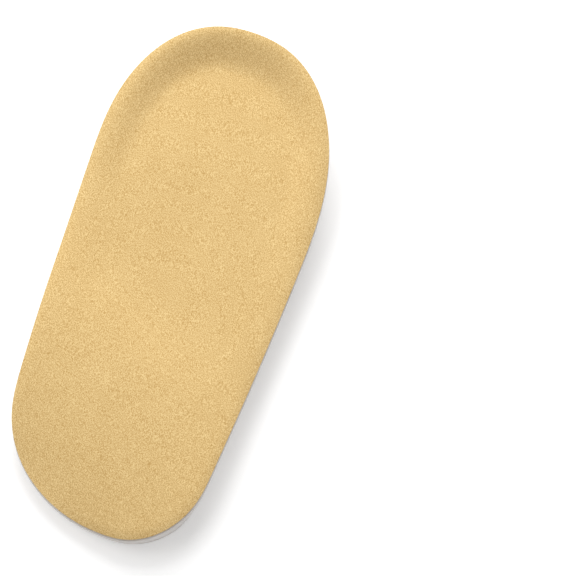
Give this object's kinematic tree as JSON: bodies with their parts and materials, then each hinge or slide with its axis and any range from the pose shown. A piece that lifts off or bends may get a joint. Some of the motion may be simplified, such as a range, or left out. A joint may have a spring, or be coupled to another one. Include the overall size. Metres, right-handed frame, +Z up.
{
  "type": "gel heel lift",
  "caption": "Moulded gel heel lift: a wedge with a dished heel seat, honeycomb pockets in its flat underside and a thin suede cover on top.",
  "frame": {"origin": "middle of the bounding box on the floor: the flat underside lies at Z = 0, centred in X and Y", "axes": "+Y towards the raised heel end, -Y towards the thin toe end, +X to the right side seen from above with the heel end away from the viewer, +Z up"},
  "size_m": [0.0598, 0.1332, 0.0137],
  "materials": {
    "gel": "soft milky-white moulded gel, satin, slightly translucent",
    "suede": "matt tan microfibre suede with a short brushed nap"
  },
  "bodies": {
    "root": {"gel_body": "gel", "suede_cover": "suede"}
  },
  "joints": []
}
